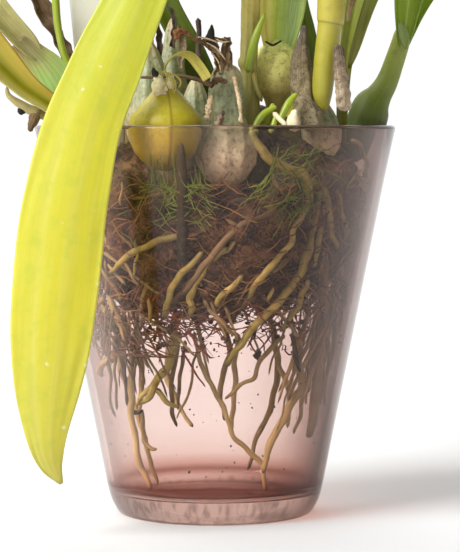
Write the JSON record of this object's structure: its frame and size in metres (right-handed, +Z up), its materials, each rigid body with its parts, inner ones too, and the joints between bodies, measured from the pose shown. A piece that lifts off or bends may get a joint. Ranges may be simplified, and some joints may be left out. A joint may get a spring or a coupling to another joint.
{
  "type": "potted orchid",
  "caption": "Pseudobulb orchid with arching strap leaves in a tapered clear glass pot, its root ball and hanging roots seen through the glass; no flowers.",
  "frame": {"origin": "centre of the glass pot's flat underside, where it stands", "axes": "+Z up along the pot's axis; -Y is the front, where the long strap leaf hangs; +X is the viewer's right from the front"},
  "size_m": [0.3527, 0.1904, 0.3307],
  "materials": {
    "tinted_glass": "polished",
    "root_fibre": "matte",
    "rhizome_bark": "matte",
    "bulb_yellow_green": "satin",
    "bulb_grey_green": "satin",
    "bulb_speckled": "satin",
    "stem_khaki": "satin",
    "stem_yellow": "satin",
    "stem_green": "satin",
    "leaf_yellow_green": "satin",
    "leaf_broad_green": "satin",
    "leaf_khaki": "satin",
    "leaf_dark_green": "satin",
    "leaf_fresh_green": "satin",
    "leaf_yellow": "satin",
    "sheath_khaki": "matte",
    "bract_blue_green": "matte",
    "dry_brown": "matte",
    "sheath_papery": "matte",
    "dry_straw": "matte",
    "dry_rust": "matte",
    "root_olive": "matte",
    "root_tan": "matte",
    "root_dark": "matte",
    "label_plastic": "matte"
  },
  "bodies": {
    "root": {"glass_pot": "tinted_glass", "root_ball": "root_fibre", "rhizome": "rhizome_bark", "bulb_front": "bulb_yellow_green", "bulb_back_right": "bulb_yellow_green", "bulb_middle": "bulb_grey_green", "bulb_left": "bulb_grey_green", "bulb_left_rear": "bulb_grey_green", "bulb_small": "bulb_grey_green", "bulb_right_low": "bulb_grey_green", "bulb_speckled": "bulb_speckled", "bulb_back_left": "bulb_speckled", "stem_khaki": "stem_khaki", "stem_yellow": "stem_yellow", "petiole_right": "stem_green", "stem_young_left": "stem_green", "shoot_tall": "stem_green", "shoot_rim_near": "stem_green", "shoot_rim_far": "stem_green", "stalk_olive": "stem_green", "leaf_front": "leaf_yellow_green", "leaf_broad": "leaf_broad_green", "leaf_back_right": "leaf_broad_green", "leaf_khaki": "leaf_khaki", "leaf_yellow_stem": "leaf_khaki", "leaf_dark_back": "leaf_dark_green", "leaf_dark_right": "leaf_dark_green", "leaf_back_left": "leaf_dark_green", "leaf_vee_inner": "leaf_fresh_green", "leaf_vee_outer": "leaf_fresh_green", "leaf_right_near": "leaf_fresh_green", "leaf_right_far": "leaf_fresh_green", "leaf_left_folded": "leaf_yellow", "sheath_left": "sheath_khaki", "leaf_left_upper": "sheath_khaki", "bract_right": "bract_blue_green", "strip_brown_left": "dry_brown", "husk_middle": "dry_brown", "twig_cross": "dry_brown", "twig_upright": "dry_brown", "sheath_spotted_tall": "sheath_papery", "sheath_spotted_short": "sheath_papery", "ribbon_dry": "dry_straw", "strip_cream": "dry_straw", "strip_tan_right": "dry_straw", "collar_front": "dry_straw", "flower_dried": "dry_rust", "root_trunk": "root_olive", "root_olive_left": "root_olive", "root_olive_middle": "root_olive", "root_long_right": "root_olive", "root_fork_middle": "root_olive", "root_pale_right": "root_tan", "root_thick_tan": "root_tan", "root_long_tan": "root_tan", "root_hang_left": "root_tan", "root_over_rim": "root_tan", "root_stub_rim": "root_tan", "root_dark_front": "root_dark", "plant_label": "label_plastic"}
  },
  "joints": []
}
